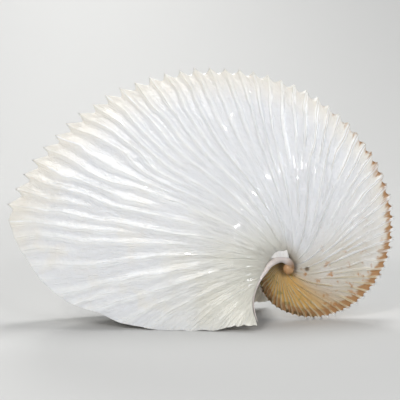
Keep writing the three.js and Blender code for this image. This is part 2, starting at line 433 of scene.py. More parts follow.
    def nodules(self, count: np.ndarray, angle: np.ndarray, side: Side) -> np.ndarray:
        """Height of the row of nodules along one edge of the keel, in millimetres.

        Between two nodules the keel is a hollow arc, which falls to its lowest place and rises again
        along a power of the way. Near the lips it falls almost straight and rises steeply. On the coil
        a nodule is a slim spike.

        Args:
            count: Rib count.
            angle: Growth angle.
            side: Side of the shell.

        Returns:
            The height, as an array.
        """
        far = side is Side.FAR
        at = count - (self.far_row_lag if far else 0.0)
        nearest = np.rint(at)
        before = np.floor(at)
        random = np.random.default_rng(self.nodule_seed + side.value).uniform(0.0, 1.0, RIBS_LISTED)
        phase = at - before
        valley = self.valley_at.at(angle)
        falling = np.clip(1 - phase / valley, 0, None) ** self.fall_power.at(angle)
        rising = np.clip((phase - valley) / (1 - valley), 0, None) ** self.rise_power.at(angle)
        arc = np.maximum(falling * (before >= 0), rising * (before >= -1))
        spike = np.clip(1 - np.abs(at - nearest) / self.spike_half_width, 0, None) ** self.spike_power
        form = spike + (arc - spike) * smooth_step(*self.arc_angles, angle)
        form = form * (self.least_nodule + self.nodule_range * random[listed(nearest)])
        row = self.far_row.at(angle) if far else 1.0
        return self.nodule_height.at(angle) * form * self.worn.at(angle) * row

    def hollows(self, count: np.ndarray, angle: np.ndarray) -> np.ndarray:
        """How far the hollows between the nodules lie below the keel's line, in millimetres."""
        where = smooth_step(*self.hollow_angles, angle) * smooth_step(*self.hollow_counts, count)
        return self.hollow.at(angle) * where


@dataclass
class Patch:
    """A grid of points with its fields. Its front is where rows turn anticlockwise into columns."""

    points: np.ndarray
    fields: Fields
    turned: bool = False

    def faces(self, first: int) -> np.ndarray:
        """The cells of the grid.

        Args:
            first: Number of the grid's first point.

        Returns:
            The numbers of four corners for each cell.
        """
        rows, columns = self.points.shape[:2]
        corner = first + np.arange(rows * columns).reshape(rows, columns)
        cells = [corner[:-1, :-1], corner[:-1, 1:], corner[1:, 1:], corner[1:, :-1]]
        if self.turned:
            cells.reverse()
        return np.stack(cells, -1).reshape(-1, 4)


def patch_of(points: np.ndarray, turned: bool, fields: dict[str, np.ndarray | float]) -> Patch:
    """A grid with fields that may be given by one value for a row, for a column or for all of it."""
    spread = {name: np.broadcast_to(value, points.shape[:2]) for name, value in fields.items()}
    return Patch(points, spread, turned)


def strip_between(outer: Patch, inner: Patch, axis: int, turned: bool) -> Patch:
    """A strip that joins a line of points on the outside to the same line on the inside.

    Args:
        outer: A grid of one row or one column on the outside.
        inner: The same one on the inside.
        axis: 0 for a row, 1 for a column.
        turned: Whether the strip's front is the other way.

    Returns:
        The grid.
    """
    points = np.concatenate([outer.points, inner.points], axis)
    fields = {name: np.concatenate([outer.fields[name], inner.fields[name]], axis) for name in outer.fields}
    return Patch(points, fields, turned)


def polar(angle: np.ndarray, radius: np.ndarray, y: np.ndarray) -> np.ndarray:
    """Points at an angle in degrees and a radius from the coil axis, and y from the middle plane."""
    x, z = (at + radius * turn(np.radians(angle)) for at, turn in zip(COIL_AXIS, (np.cos, np.sin)))
    return np.stack(np.broadcast_arrays(x, y, z), -1)


@dataclass
class Sheet:
    """The whole shell as one closed sheet: outside, inside and the strips that join them."""

    growth: Growth = field(default_factory=Growth)
    relief: Relief = field(default_factory=Relief)
    # Thickness: the most, the most as a share of the radius, the share at a lip, and under the keel
    wall: float = 0.5
    wall_to_radius: float = 0.012
    lip_wall: Shift = Shift(0.36, 1.0, 0.0, 0.06)
    keel_wall: float = 1.6
    keel_wall_to_radius: float = 0.03
    keel_wall_power: int = 4
    at_keel: float = 0.97  # the sheet ends in the keel where its end is further out than this
    least_inside: float = 0.5
    lift_inside: float = 0.8
    # The dark ring round the head of the roll, a painted shadow
    hub_radius: float = 3.0
    hub_reach: float = 2.6
    # Rows to a rib from each rib count on, and columns
    rows_per_rib: tuple[tuple[float, int], ...] = ((94.0, 4), (60.0, 9), (40.0, 12), (22.0, 14))
    lip_rows_per_rib: int = 8
    flank_columns: int = 28
    crowding: float = 1.75
    inner_step: int = 4
    keel_columns: int = 6
    # Unevenness of a lip's outline
    ragged: float = 0.006
    ragged_steps_per_degree: float = 0.55
    ragged_line: float = 0.5
    ragged_counts: float = 1.5
    ragged_seed: int = 61
    # Where the ribs fade out: at the umbilicus, there on the young coil, and at the keel
    rib_shares: Span = (0.03, 0.3)
    young_rib_shares: Span = (0.02, 0.2)
    young_angles: Span = (15.0, -45.0)
    keel_shares: Span = (1.0, 0.955)
    # How far the nodules go on past the front of the keel, in counts
    nodules_past: float = 0.5
    # How far a nodule reaches down the flank and across the keel, and how far it swells sideways
    tooth_reach: float = 2.4
    least_reach: float = 0.5
    tooth_power: float = 1.6
    tooth_swell: float = 0.3
    keel_reach: float = 0.45
    least_keel_reach: float = 0.3
    keel_power: float = 1.5
    keel_tip: float = 0.7
    keel_rise: float = 0.3

    def __post_init__(self) -> None:
        """Works out the outlines by rib count."""
        growth = self.growth
        self.lip = growth.outline(growth.lip_angles, growth.lip_shares)
        self.margin = growth.outline(growth.margin_angles, growth.margin_shares)
        self.front = float(self.lip[0][-1])
        self.tip = float(self.lip[0][0])

    def trough_counts(self) -> np.ndarray:
        """Spaces the rows from the oldest part to the front of the keel, closest on the open part.

        Returns:
            Their rib counts, oldest first.
        """
        bands = self.rows_per_rib
        ends = [start for start, _ in bands[1:]] + [self.front]
        rows = [
            np.linspace(start, end, max(int(round((start - end) * per_rib)), 1), endpoint=False)
            for (start, per_rib), end in zip(bands, ends)
        ]
        return np.concatenate([*rows, [self.front]])

    def lip_counts(self) -> np.ndarray:
        """Rib counts of the rows from the front of the keel to the tip of the lip."""
        steps = int(round((self.front - self.tip) * self.lip_rows_per_rib))
        return np.linspace(self.front, self.tip, steps + 1)

    def across(self) -> np.ndarray:
        """Places across a flank from the margin (0) to the keel or lip (1), closest together there."""
        u = np.linspace(0.0, 1.0, self.flank_columns + 1)
        return 1 - (1 - u) ** self.crowding

    def flank(self, count: np.ndarray, across: np.ndarray, side: Side, face: Face) -> Patch:
        """One side of the sheet, as a grid over rib count and place across.

        The place across gives the share of the keel radius between margin and lip. The point lies at
        that share of the keel radius, at its rib's angle, half the shell's width out, plus the ribs
        along Y and the nodules radially. The inside lies a wall's thickness further in.

        Args:
            count: Rib counts of the rows.
            across: Places of the columns.
            side: Side of the shell.
            face: Face of the sheet.

        Returns:
            The grid.
        """
        growth = self.growth
        relief = self.relief
        count = count[:, None]
        across = across[None, :]
        start = np.interp(count, *self.margin)
        end = np.interp(count, *self.lip)
        on_lip = smooth_step(self.front, self.front - self.ragged_counts, count)
        step = growth.rib_angle(count, end) * self.ragged_steps_per_degree
        uneven = lattice_noise(step, self.ragged_line, self.ragged_seed + side.value)
        end = end + self.ragged * on_lip * np.sqrt(end) * uneven
        share = start + across * (end - start)
        angle = growth.rib_angle(count, share)
        radius = growth.keel_radius(angle)
        ribs = relief.ribs(count, share, side) - relief.mean_rib
        size = np.clip(radius / relief.full_radius, 0, 1) ** relief.rib_growth
        young = smooth_step(*self.young_angles, angle)
        fade = smooth_step(*self.rib_shares, share) * (1 - young)
        fade = fade + smooth_step(*self.young_rib_shares, share) * young
        full = growth.half_width(share, angle)
        lift = relief.rib_height * size * fade * ribs * smooth_step(*self.keel_shares, share)
        reach = self.tooth_reach * size + self.least_reach
        near_keel = np.clip(1 - (1 - share) * radius / reach, 0, None) ** self.tooth_power
        on_keel = near_keel * (count >= self.front - self.nodules_past)
        tooth = relief.nodules(count, angle, side) * on_keel
        hollow = relief.hollows(count, angle) * on_keel
        if face is Face.OUTSIDE:
            y = full + lift + self.tooth_swell * tooth
            out = share * radius + tooth - hollow
        else:
            wall = np.minimum(self.wall, self.wall_to_radius * radius)
            wall = wall * np.where(count < self.front, self.lip_wall.at(1 - across), 1.0)
            y = np.maximum(full + self.lift_inside * lift - wall, self.least_inside * full)
            under = self.keel_wall * np.minimum(1.0, self.keel_wall_to_radius * radius)
            out = share * (radius - share**self.keel_wall_power * under * (end > self.at_keel))
        fields = {
            "growth": angle,
            "share": share,
            "count": relief.wander(count, share, side),
            "rise": relief.mean_rib + ribs * fade,
            "tooth": tooth / relief.nodule_height.end,
            "inside": float(face is Face.INSIDE),
            # Where the painted shadow rings the head of the roll
            "hub": np.clip(1 - np.abs(share * radius - self.hub_radius) / self.hub_reach, 0, 1),
        }
        turned = (side is Side.FAR) == (face is Face.OUTSIDE)
        return patch_of(polar(angle, out, side.value * y), turned, fields)

    def keel(self, count: np.ndarray, face: Face) -> Patch:
        """The keel between its two edges, as a grid over rib count and place across.

        Across it w runs from -1 to 1. The outside lies at the keel radius less a shallow groove, whose
        depth goes as 1 - w^2, and plus the nodules of both edges. The inside is a plain strip.

        Args:
            count: Rib counts of the rows.
            face: Face of the sheet.

        Returns:
            The grid.
        """
        relief = self.relief
        w = np.linspace(-1.0, 1.0, self.keel_columns + 1)[None, :]
        near = self.flank(count, np.array([1.0]), Side.NEAR, face)
        far = self.flank(count, np.array([1.0]), Side.FAR, face)
        blend = (1 + w) / 2
        points = near.points * (1 - blend[..., None]) + far.points * blend[..., None]
        angle = near.fields["growth"]
        count = count[:, None]
        if face is Face.OUTSIDE:
            half = self.growth.half_width(np.ones_like(angle), angle)
            reach = self.keel_reach * half + self.least_keel_reach
            out = self.growth.keel_radius(angle) * (1 - relief.keel_groove * (1 - w**2))
            out = out - relief.hollows(count, angle)
            for side in Side:
                close = np.clip(1 - np.abs(w - side.value) * half / reach, 0, None) ** self.keel_power
                out = out + relief.nodules(count, angle, side) * close
            points = polar(angle, out, points[..., 1])
        on_near = w < -self.keel_tip
        on_far = w > self.keel_tip
        fields = {
            "growth": angle,
            "share": 1.0,
            "count": count,
            "rise": self.keel_rise * (near.fields["rise"] * (1 - blend) + far.fields["rise"] * blend),
            "tooth": near.fields["tooth"] * on_near + far.fields["tooth"] * on_far,
            "inside": float(face is Face.INSIDE),
        }
        return patch_of(points, face is Face.INSIDE, fields)

    def patches(self) -> list[Patch]:
        """Makes the keel and both flanks, outside and inside, and joins their faces at every edge.

        Returns:
            The grids, which meet along their edges.
        """
        trough = self.trough_counts()
        lips = self.lip_counts()
        whole = np.concatenate([trough, lips[1:]])
        across = self.across()
        first = np.array([0.0])
        last = np.array([1.0])
        made = [self.keel(trough, face) for face in Face]
        made.append(strip_between(*(self.keel(trough[-1:], face) for face in Face), 0, True))
        for side in Side:
            made.append(self.flank(whole, across, side, Face.OUTSIDE))
            made.append(self.flank(whole, across[:: self.inner_step], side, Face.INSIDE))
            for rows, column, turned in ((whole, first, side is Side.NEAR), (lips, last, side is Side.FAR)):
                edges = (self.flank(rows, column, side, face) for face in Face)
                made.append(strip_between(*edges, 1, turned))
        return made


def smooth_curve(at: tuple[float, ...], values: tuple[float, ...], x: np.ndarray) -> np.ndarray:
    """Smooth curve at x through points, whose slope at a point comes from its two neighbours."""
    place, value = (np.asarray(numbers, float) for numbers in (at, values))
    return cubic_curve(place, value, np.gradient(value, place), x)


@dataclass
class RolledMargin:
    """The margin between umbilicus and lip, rolled into a round lip that curls up over the coil axis.

    It is a round section carried along the margin. Its path is given by growth angle: how far from the
    coil axis it runs, how far out from the middle plane, and how thick it is.
    """

    angles: tuple[float, ...] = (-40, -10, 20, 50, 90, 120, 145, 170, 188.6, 204.8, 220.9, 232, 241)
    distances: tuple[float, ...] = (0.9, 1.3, 1.8, 2.5, 3.6, 4.8, 5.9, 7.9, 9.9, 14.1, 19.5, 22.7, 25.2)
    depths: tuple[float, ...] = (7.3, 7.3, 7.2, 7.0, 6.8, 6.8, 7.2, 8.4, 9.6, 13.0, 17.4, 20.5, 23.2)
    radii: tuple[float, ...] = (2.6, 2.5, 2.3, 2.0, 1.75, 1.65, 1.55, 1.3, 1.05, 0.75, 0.55, 0.4, 0.3)
    head_radius: float = 2.6
    head_angle: float = -15.0
    steps: int = 150
    around: int = 16
    round_end: float = 0.06  # share of the path over which each end closes
    share: float = 0.05
    rise: float = 0.6
    counts_per_degree: float = 0.25

    def grown(self, points: np.ndarray, angle: np.ndarray | float) -> Patch:
        """The points as a grid of the roll, grown at the given angles."""
        fields = {"share": self.share, "rise": self.rise, "rolled": 1.0}
        return patch_of(points, False, fields | {"growth": angle, "count": angle * self.counts_per_degree})

    def head(self, side: Side) -> Patch:
        """The round head in which the roll ends, a sphere over latitude and longitude.

        Args:
            side: Side of the shell.

        Returns:
            The grid.
        """
        latitude = np.linspace(-np.pi / 2, np.pi / 2, self.around + 1)[:, None]
        longitude = np.linspace(0.0, 2 * np.pi, 2 * self.around + 1)[None, :]
        longitude[0, -1] = 0.0
        angle = np.array(self.head_angle)
        distance = smooth_curve(self.angles, self.distances, angle)
        depth = smooth_curve(self.angles, self.depths, angle)
        ring = np.cos(latitude)
        ring[[0, -1]] = 0.0
        offset = np.broadcast_arrays(ring * np.cos(longitude), ring * np.sin(longitude), np.sin(latitude))
        centre = polar(angle, distance, side.value * depth)
        return self.grown(centre + self.head_radius * np.stack(offset, -1), self.head_angle)

    def patch(self, side: Side) -> Patch:
        """The roll on one side, as a grid over the way along it (s) and round it (a).

        A point is the path's centre plus the radius times cos(a) away from the coil axis and sin(a)
        square to that and to the path. The radius falls to zero at both ends as a half circle does.

        Args:
            side: Side of the shell.

        Returns:
            The grid.
        """
        s = np.linspace(0.0, 1.0, self.steps + 1)
        from_end = np.minimum(s, 1 - s) / self.round_end
        angle = self.angles[0] + (self.angles[-1] - self.angles[0]) * s
        distance = smooth_curve(self.angles, self.distances, angle)
        depth = smooth_curve(self.angles, self.depths, angle)
        thick = smooth_curve(self.angles, self.radii, angle)
        thick = thick * np.sqrt(np.clip(1 - np.clip(1 - from_end, 0, 1) ** 2, 0, 1))
        turn = np.radians(angle)
        out = np.stack([np.cos(turn), np.zeros_like(turn), np.sin(turn)], -1)
        centre = polar(angle, distance, side.value * depth)
        path = np.gradient(centre, axis=0)
        path /= np.linalg.norm(path, axis=1, keepdims=True)
        out -= path * np.sum(out * path, 1, keepdims=True)
        out /= np.linalg.norm(out, axis=1, keepdims=True)
        square = np.cross(path, out)
        a = np.linspace(0.0, 2 * np.pi, self.around + 1)
        a[-1] = 0.0
        ring = out[:, None] * np.cos(a)[None, :, None] + square[:, None] * np.sin(a)[None, :, None]
        return self.grown(centre[:, None] + thick[:, None, None] * ring, angle[:, None])


@dataclass
class BrokenScale:
    """The stub of an older margin above the roll, broken off to a white crown with two points."""

    along: tuple[float, ...] = (-6.8, -5.2, -3.6, -2.2, -0.8, 0.7, 1.5)
    tops: tuple[float, ...] = (5.2, 7.8, 10.3, 8.6, 8.2, 9.1, 5.9)
    foot: float = 4.6
    depth: float = 7.3
    lean: float = 0.12
    thickness: float = 0.9
    # Over what way it thins out: at the ends in millimetres, at the top and foot as shares of the height
    end_taper: float = 0.5
    top_taper: float = 0.25
    foot_taper: float = 0.1
    columns: int = 36
    rows: int = 8
    growth: float = 110.0
    share: float = 0.07
    rise: float = 0.7

    def patch(self, side: Side, outward: bool) -> Patch:
        """One face of the scale, as a grid over the way along its foot and up to its broken top.

        The top follows straight lines through the listed heights. Half the thickness is added or taken
        away, times the root of the way in from the ends and the top, so that both faces meet there.

        Args:
            side: Side of the shell.
            outward: Whether this is the face away from the middle plane.

        Returns:
            The grid.
        """
        x = np.linspace(self.along[0], self.along[-1], self.columns + 1)[:, None]
        up = np.linspace(0.0, 1.0, self.rows + 1)[None, :]
        z = self.foot + up * (np.interp(x, self.along, self.tops) - self.foot)
        end = np.minimum(x - self.along[0], self.along[-1] - x)
        body = np.sqrt(np.clip(np.minimum(end / self.end_taper, (1 - up) / self.top_taper), 0, 1))
        body = body * np.clip(up / self.foot_taper, 0, 1)
        half = self.thickness / 2 * body * (1 if outward else -1)
        y = side.value * (self.depth + self.lean * (z - self.foot) + half)
        points = np.stack(np.broadcast_arrays(COIL_AXIS[0] + x, y, COIL_AXIS[1] + z), -1)
        fields = {"growth": self.growth, "share": self.share, "count": x, "rise": self.rise, "fresh": 1.0}
        return patch_of(points, (side is Side.NEAR) == outward, fields)


FIELD_NAMES = ("growth", "share", "count", "rise", "tooth", "inside", "hub", "rolled", "fresh")


def mesh_of(name: str, patches: list[Patch]) -> bpy.types.Object:
    """One mesh of many grids, joined where they meet, with their fields as point attributes.

    A hole that is left, such as the one at the oldest end of the sheet, gets a face of its own.

    Args:
        name: Name of the piece.
        patches: The grids, in millimetres.

    Returns:
        The new object, at the origin, in metres.
    """
    sizes = [patch.points.shape[0] * patch.points.shape[1] for patch in patches]
    firsts = np.concatenate([[0], np.cumsum(sizes)])
    points = np.concatenate([patch.points.reshape(-1, 3) for patch in patches])
    faces = np.concatenate([patch.faces(first) for patch, first in zip(patches, firsts)])
    fields = {
        field_name: np.concatenate(
            [patch.fields.get(field_name, np.zeros(patch.points.shape[:2])).ravel() for patch in patches]
        )
        for field_name in FIELD_NAMES
    }
    rounded = np.round(points, MERGE_DECIMALS)
    _, kept, place = np.unique(rounded, axis=0, return_index=True, return_inverse=True)
    corners = place.reshape(-1)[faces]
    distinct = corners != np.roll(corners, -1, axis=1)
    real = distinct.sum(1) >= 3
    corner_counts = distinct[real].sum(1)
    loops = corners[real][distinct[real]]
    mesh = bpy.data.meshes.new(name)
    mesh.vertices.add(kept.size)
    mesh.vertices.foreach_set("co", (points[kept] * MM).ravel())
    mesh.loops.add(loops.size)
    mesh.loops.foreach_set("vertex_index", loops)
    mesh.polygons.add(corner_counts.size)
    mesh.polygons.foreach_set("loop_start", np.cumsum(corner_counts) - corner_counts)
    mesh.update(calc_edges=True)
    for field_name, values in fields.items():
        attribute = mesh.attributes.new(field_name, "FLOAT", "POINT")
        attribute.data.foreach_set("value", values[kept].astype(np.float32))
    build = bmesh.new()
    build.from_mesh(mesh)
    bmesh.ops.holes_fill(build, edges=[edge for edge in build.edges if edge.is_boundary], sides=0)
    build.to_mesh(mesh)
    build.free()
    mesh.polygons.foreach_set("use_smooth", np.ones(len(mesh.polygons), bool))
    mesh.validate()
    piece = bpy.data.objects.new(name, mesh)
    bpy.context.scene.collection.objects.link(piece)
    return piece


def linear(code: str) -> tuple[float, float, float, float]:
    """An sRGB hex colour as linear red, green, blue and alpha, by the standard's own two-part curve."""
    parts = [int(code[i : i + 2], 16) / 255 for i in (1, 3, 5)]
    return (*(c / 12.92 if c <= 0.04045 else ((c + 0.055) / 1.055) ** 2.4 for c in parts), 1.0)


def add_node(tree: bpy.types.NodeTree, kind: str, settings: dict, links: dict) -> bpy.types.Node:
    """Adds a node to a material.

    Args:
        tree: The material's node tree.
        kind: Blender's name of the node type.
        settings: Properties by name, and values of input sockets by socket name or number.
        links: Output sockets of other nodes, by the name or number of the input they go to.

    Returns:
        The new node.
    """
    node = tree.nodes.new(kind)
    for name, value in settings.items():
        if isinstance(name, str) and hasattr(node, name):
            setattr(node, name, value)
        else:
            node.inputs[name].default_value = value
    for name, output in links.items():
        tree.links.new(output, node.inputs[name])
    return node


@dataclass(frozen=True)
class Ramp:
    """A mask: 0 where its source is at low, rising smoothly to height where the source is at high."""

    source: str
    low: float
    high: float
    height: float = 1.0


@dataclass(frozen=True)
class Grain:
    """A noise pattern from 0 to 1, with so many lumps to a unit of each of its coordinates."""

    name: str
    coordinates: str
    lumps: tuple[float, float, float]
    detail: float


@dataclass(frozen=True)
class Blend:
    """A source moved by another one: base plus times the other."""

    name: str
    base: str
    other: str
    times: float


@dataclass(frozen=True)
class Layer:
    """A colour that covers those below it where all of its masks are up."""

    colour: str
    masks: tuple[Ramp, ...]


@dataclass(frozen=True)
class Emboss:
    """A height in millimetres that is added where all of its masks are up."""

    height: float
    masks: tuple[Ramp, ...]


@dataclass(frozen=True)
class Calcite:
    """Biogenic calcite, laid down in thin layers and as glossy as glazed porcelain.

    The eye sees a bluish white that lets a little light through, with growth lines a millimetre or less
    apart. The hollows between the ribs are painted greyer than the crests, a painted shade, and thin
    white lines along the ribs are painted highlights. The young coil and its keel are stained tan to
    orange brown, darkest in the hollows, and its crests are worn pale. A painted shadow rings the head
    of the roll, and a painted warm shade tints the roll's inner part and head.
    """

    # Hollows greyer than the crests: a painted shade in the hollows
    hollow: str = "#E5E6E8"
    crest: str = "#F0F1F1"
    cream: str = "#EFE6D3"
    lip_cream: str = "#DAD8CC"
    tan: str = "#B9AC90"
    painted_highlight_line: str = "#FFFFFF"
    line_shade: str = "#DEDAD2"
    worn_line: str = "#E3CFA2"
    stained_hollow: str = "#B1946A"
    deep_hollow: str = "#CFA357"
    stained_crest: str = "#D6C197"
    keel_stain: str = "#A87B4A"
    old_stain: str = "#5A4318"
    roll_ring_shadow: str = "#5A3812"
    speck: str = "#6E5A42"
    spot: str = "#B07A3A"
    olive: str = "#8E8440"
    roll: str = "#F0E5E0"
    roll_head_shade: str = "#B4875A"
    broken: str = "#FFFBF6"
    inside: str = "#DDD8CE"
    ior: float = 1.56
    smoothest: float = 0.25
    roughness_range: float = 0.16
    coat: float = 0.5
    coat_roughness: float = 0.055
    coat_ior: float = 1.5
    translucence: float = 0.25
    light_reach: float = 0.9  # millimetres that light goes into the wall
    reach_by_colour: tuple[float, float, float] = (1.0, 0.9, 0.8)
    borehole: tuple[float, float, float] = (51.3, -6.0, 24.9)  # a dark speck beside the umbilicus
    borehole_edge: Span = (1.7 * MM, 0.5 * MM)
    blotch_size: float = 16.0  # millimetres
    fleck_size: float = 3.8
    mottle_size: float = 2.4
    grain_roughness: float = 0.55

    def grains(self) -> tuple[Grain, ...]:
        """Lists the noise patterns. A rib is 4 to 8 mm wide, and the shell up to 133 mm from axis to keel.

        Returns:
            The patterns.
        """
        sizes = (self.blotch_size, self.fleck_size, self.mottle_size)
        blotch, fleck, mottle = (1 / (size * MM) for size in sizes)
        return (
            Grain("blotches", "place", (blotch, blotch, blotch), 3.0),
            Grain("flecks", "place", (fleck, fleck, fleck), 3.0),
            Grain("mottle", "place", (mottle, mottle, mottle), 4.0),
            Grain("streaks", "ribs", (2.3, 7.0, 0.0), 3.0),
            Grain("growth_lines", "ribs", (7.0, 6.0, 0.0), 3.0),
            Grain("scratches", "ribs", (5.0, 13.0, 0.0), 2.0),
            Grain("ripples", "ribs", (2.6, 42.0, 0.0), 2.0),
        )

    def blends(self) -> tuple[Blend, ...]:
        """Lists growth angle and place across the shell with ragged edges, for stains.

        Returns:
            The blends, each made of sources or of blends before it.
        """
        return (
            Blend("ragged_growth", "growth", "blotches", 90.0),
            Blend("ragged_share", "share", "streaks", 0.2),
            Blend("keel_reach", "ragged_share", "growth", -0.0013),
        )

    def layers(self) -> tuple[Layer, ...]:
        """Lists the colours over the bluish hollows: the white wall, its stains, worn or bare places, painted
        shade and highlights.

        Returns:
            The layers, from the lowest to the uppermost.
        """
        age, share, gap, flecks, streaks = (
            partial(Ramp, source) for source in ("growth", "share", "rib_gap", "flecks", "streaks")
        )
        crest = Ramp("rise", 0.1, 0.7)
        on_rib = Ramp("rise", 0.35, 0.6)
        # Two thin lines along each rib, one on either shoulder: the painted highlights on the back, and the
        # worn lines on the coil
        lines = (gap(0.2, 0.11), gap(-0.03, 0.07), on_rib)
        young = Ramp("ragged_growth", 42.0, -38.0)
        rolled = Ramp("rolled", 0.0, 1.0)
        return (
            # Crests lighter than the hollows, a painted shade in the hollows; cream towards the lips and the
            # keel
            Layer(self.crest, (crest,)),
            Layer(self.cream, (Ramp("blotches", 0.48, 0.75, 0.5), age(120.0, 200.0))),
            Layer(self.lip_cream, (share(0.52, 0.12), age(85.0, 190.0), Ramp("blotches", -0.1, 0.7))),
            Layer(self.lip_cream, (share(0.3, 0.1, 0.75), age(70.0, 110.0))),
            Layer(self.cream, (share(0.82, 1.0, 0.5),)),
            # Tan hollows and brown flecks where the coil begins
            Layer(self.tan, (age(65.0, -10.0, 0.8), Ramp("blotches", 0.1, 0.7))),
            Layer(self.crest, (crest, age(80.0, 40.0, 0.7), age(-25.0, 10.0))),
            Layer(self.spot, (flecks(0.6, 0.75, 0.45), age(75.0, 10.0))),
            # The coil, with worn crests
            Layer(self.stained_hollow, (young,)),
            Layer(self.deep_hollow, (age(-25.0, -70.0),)),
            Layer(self.stained_crest, (young, crest)),
            # Painted highlights: pale lines on the ribs of the back, with a painted shade down the middle of
            # each rib between them, and the brown of the keel between their ends
            Layer(self.painted_highlight_line, (*lines, age(110.0, 60.0, 0.85), age(-20.0, 5.0))),
            Layer(self.line_shade, (gap(0.07, 0.01), on_rib, age(95.0, 65.0), share(0.6, 0.8))),
            Layer(self.keel_stain, (age(95.0, 60.0), Ramp("keel_reach", 1.0, 1.055), Ramp("rise", 1.6, 0.2))),
            # Painted highlights: broken pale lines along the ribs towards the lips
            Layer(self.painted_highlight_line, (gap(0.08, 0.02), on_rib, age(80.0, 110.0), streaks(0.5, 0.6))),
            Layer(self.tan, (share(0.2, 0.06, 0.7), age(120.0, 80.0), age(0.0, 30.0))),
            # Worn lines and nodules on the coil, the painted shadow ring round the head of the roll, the
            # darkest stains and the flecks
            Layer(self.worn_line, (*lines, age(15.0, -15.0, 0.7), streaks(0.25, 0.5))),
            Layer(self.crest, (Ramp("tooth", 0.06, 0.25), age(60.0, 20.0))),
            # Painted shadow: a dark ring round the head of the roll
            Layer(self.roll_ring_shadow, (Ramp("hub", 0.0, 1.0, 0.65),)),
            Layer(self.spot, (flecks(0.55, 0.7, 0.8), age(25.0, -10.0), age(-90.0, -50.0))),
            Layer(self.olive, (flecks(0.42, 0.3, 0.7), age(-40.0, -70.0))),
            Layer(self.old_stain, (share(0.86, 0.97), age(-55.0, -75.0), streaks(0.42, 0.58))),
            # The speck, the duller inside, the roll with the painted warm shade on its inner part and head,
            # and the fresh break
            Layer(self.speck, (Ramp("from_borehole", *self.borehole_edge),)),
            Layer(self.inside, (Ramp("inside", 0.0, 1.0, 0.75),)),
            Layer(self.roll, (rolled,)),
            # Painted shade: warm tan on the roll's inner part and its head, in the pit
            Layer(self.roll_head_shade, (rolled, age(95.0, 15.0))),
            Layer(self.broken, (Ramp("fresh", 0.0, 1.0),)),
        )

    def embossing(self) -> tuple[Emboss, ...]:
        """Lists the fine relief, too small for the mesh: growth lines, dents, ripples, scratches and creases.

        Returns:
            The heights, which are added up.
        """
        on_rib = Ramp("rise", 0.3, 0.6)
        return (
            Emboss(0.05, (Ramp("growth_lines", 0.0, 1.0),)),
            Emboss(0.06, (Ramp("mottle", 0.0, 1.0),)),
            Emboss(0.3, (Ramp("ripples", 0.0, 1.0),)),
            Emboss(0.1, (Ramp("scratches", 0.54, 0.62), Ramp("growth", 20.0, 60.0))),
            Emboss(0.16, (Ramp("rib_gap", 0.22, 0.12), on_rib, Ramp("growth", 140.0, 95.0))),
            Emboss(0.12, (Ramp("rib_gap", 0.08, 0.01), on_rib, Ramp("growth", 80.0, 110.0))),
            Emboss(-0.3, (Ramp("rib_gap", 0.1, 0.0), on_rib, Ramp("growth", 100.0, 70.0))),
        )

    def sources(self, tree: bpy.types.NodeTree) -> dict[str, bpy.types.NodeSocket]:
        """Everything that a mask can start from.

        Args:
            tree: The material's node tree.

        Returns:
            The mesh's fields, the noise patterns, the blends, the distance from the nearest rib in counts
            and the distance from the borehole in metres, by name.
        """
        found = {
            name: add_node(tree, "ShaderNodeAttribute", {"attribute_name": name}, {}).outputs["Fac"]
            for name in FIELD_NAMES
        }
        place = add_node(tree, "ShaderNodeTexCoord", {}, {}).outputs["Object"]
        links = {"X": found["count"], "Y": found["share"]}
        ribs = add_node(tree, "ShaderNodeCombineXYZ", {}, links).outputs["Vector"]
        coordinates = {"place": place, "ribs": ribs}
        for grain in self.grains():
            scaling = {"operation": "MULTIPLY", 1: grain.lumps}
            scaled = add_node(tree, "ShaderNodeVectorMath", scaling, {0: coordinates[grain.coordinates]})
            settings = {"Scale": 1.0, "Detail": grain.detail, "Roughness": self.grain_roughness}
            noise = add_node(tree, "ShaderNodeTexNoise", settings, {"Vector": scaled.outputs[0]})
            found[grain.name] = noise.outputs["Fac"]
        for blend in self.blends():
            settings = {"operation": "MULTIPLY_ADD", 1: blend.times}
            links = {0: found[blend.other], 2: found[blend.base]}
            found[blend.name] = add_node(tree, "ShaderNodeMath", settings, links).outputs[0]
        half_step = {"operation": "PINGPONG", 1: 0.5}
        found["rib_gap"] = add_node(tree, "ShaderNodeMath", half_step, {0: found["count"]}).outputs[0]
        centre = {"operation": "DISTANCE", 1: [length * MM for length in self.borehole]}
        found["from_borehole"] = add_node(tree, "ShaderNodeVectorMath", centre, {0: place}).outputs["Value"]
        return found

    def mask(
        self, tree: bpy.types.NodeTree, found: dict[str, bpy.types.NodeSocket], ramps: tuple[Ramp, ...]
    ) -> bpy.types.NodeSocket:
        """The product of some ramps.

        Args:
            tree: The material's node tree.
            found: The sources by name.
            ramps: The ramps, at least one.

        Returns:
            The mask.
        """
        product = None
        for ramp in ramps:
            limits = {"From Min": ramp.low, "From Max": ramp.high, "To Max": ramp.height}
            settings = {"interpolation_type": "SMOOTHSTEP"} | limits
            rise = add_node(tree, "ShaderNodeMapRange", settings, {"Value": found[ramp.source]}).outputs[0]
            if product is not None:
                links = {0: product, 1: rise}
                rise = add_node(tree, "ShaderNodeMath", {"operation": "MULTIPLY"}, links).outputs[0]
            product = rise
        return product

